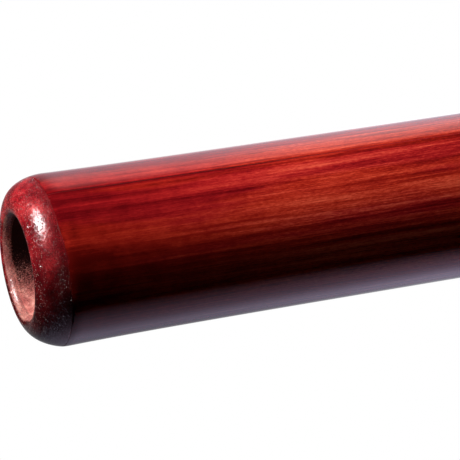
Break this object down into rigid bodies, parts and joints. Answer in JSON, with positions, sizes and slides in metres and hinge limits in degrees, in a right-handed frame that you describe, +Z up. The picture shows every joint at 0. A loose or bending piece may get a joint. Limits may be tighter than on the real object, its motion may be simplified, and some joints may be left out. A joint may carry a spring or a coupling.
{
  "type": "didgeridoo",
  "caption": "Long flared wooden wind instrument: a tube split, hollowed and glued again, with a turned, rounded mouth ring at its narrow end and an open bell at its wide end.",
  "frame": {"origin": "centre of the bell end's flat face, on the bore's axis", "axes": "+Z up the bore towards the mouth; the seam between the two halves lies in the XZ plane, and the front half is on -Y"},
  "size_m": [0.08, 0.08, 1.25],
  "materials": {
    "stained_wood": "side grain stained deep red, under a gloss clear coat",
    "mouth_wood": "end grain stained deep red, its open pores left as fine speckle under a thin satin coat",
    "glue": "cured wood glue, stained dark",
    "dowel_wood": "bare, planed"
  },
  "bodies": {
    "root": {"front_half_shell": "stained_wood", "back_half_shell": "stained_wood", "right_seam_glue": "glue", "left_seam_glue": "glue", "mouth_ring": "mouth_wood", "mouth_ring_glue": "glue", "right_dowel_1": "dowel_wood", "right_dowel_2": "dowel_wood", "right_dowel_3": "dowel_wood", "right_dowel_4": "dowel_wood", "left_dowel_1": "dowel_wood", "left_dowel_2": "dowel_wood", "left_dowel_3": "dowel_wood", "left_dowel_4": "dowel_wood"}
  },
  "joints": []
}
